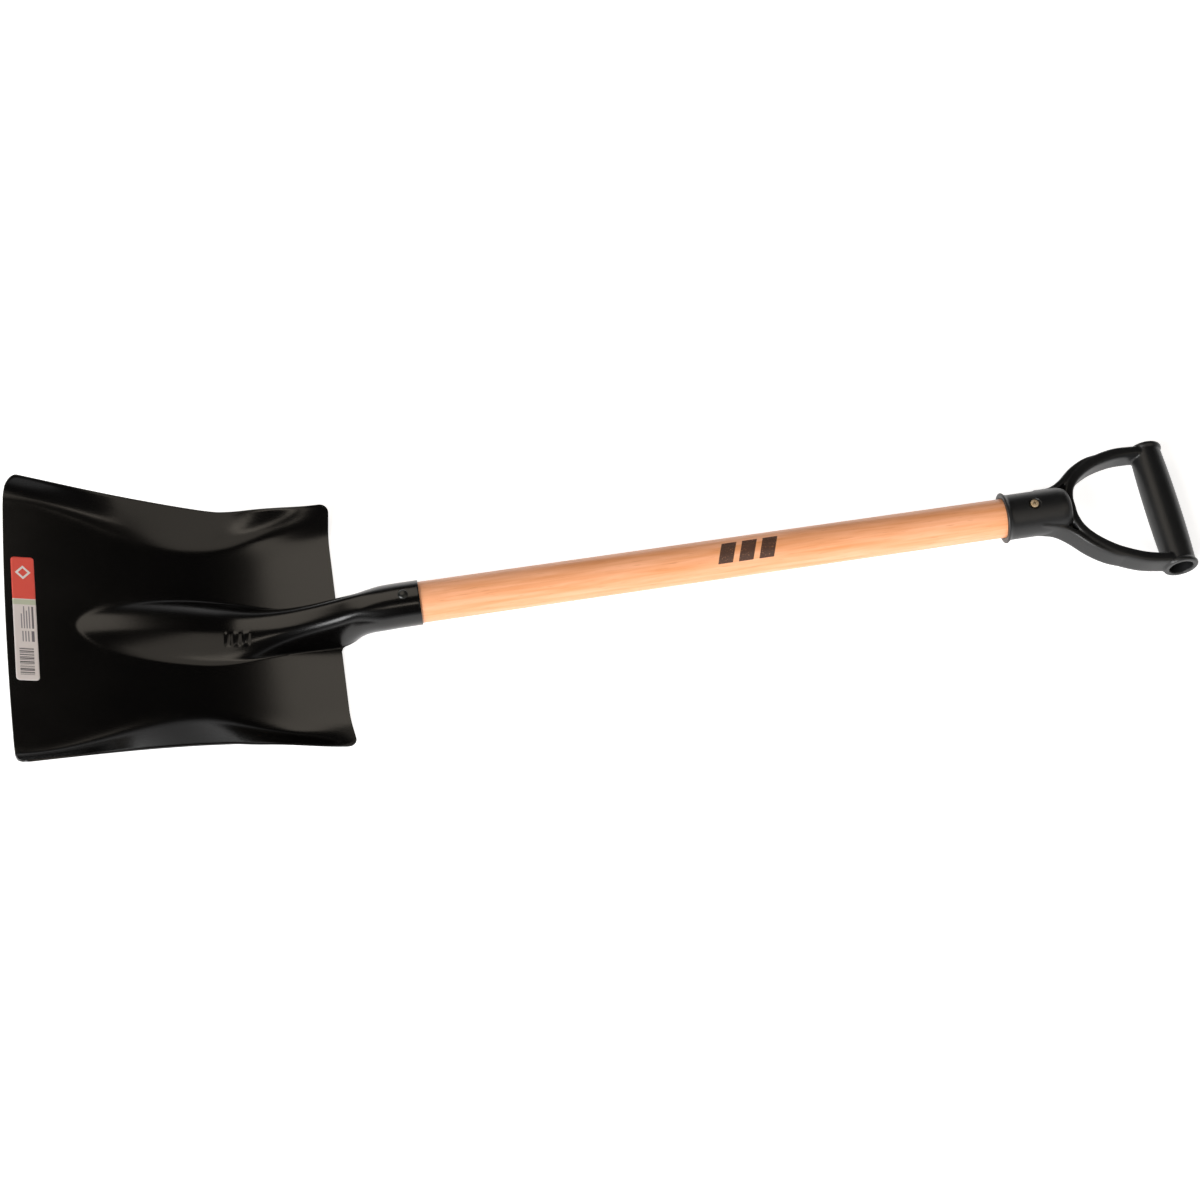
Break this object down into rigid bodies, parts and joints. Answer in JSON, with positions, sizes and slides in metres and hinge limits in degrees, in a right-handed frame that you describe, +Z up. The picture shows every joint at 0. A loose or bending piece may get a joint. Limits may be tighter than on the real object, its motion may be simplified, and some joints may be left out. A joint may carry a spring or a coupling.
{
  "type": "shovel",
  "caption": "Square-mouth shovel with a pressed steel blade and socket, a straight wooden shaft and a moulded D-grip, lying on its back.",
  "frame": {"origin": "middle of the footprint, on the surface that the shovel lies on", "axes": "+X along the shovel from the blade's mouth to the grip, +Z up with the blade's loading face up, +Y across the blade"},
  "size_m": [1.0456, 0.2708, 0.1054],
  "materials": {
    "black_enamel": "semi-gloss",
    "wood": "satin varnish",
    "black_plastic": "satin moulded",
    "zinc_steel": "yellow zinc",
    "rivet_steel": "semi-gloss",
    "paper_label": "coated paper"
  },
  "bodies": {
    "root": {"blade": "black_enamel", "shaft": "wood", "grip": "black_plastic", "grip_screw": "zinc_steel", "label": "paper_label", "socket_rivet": "rivet_steel", "rivet_washer": "rivet_steel"}
  },
  "joints": []
}
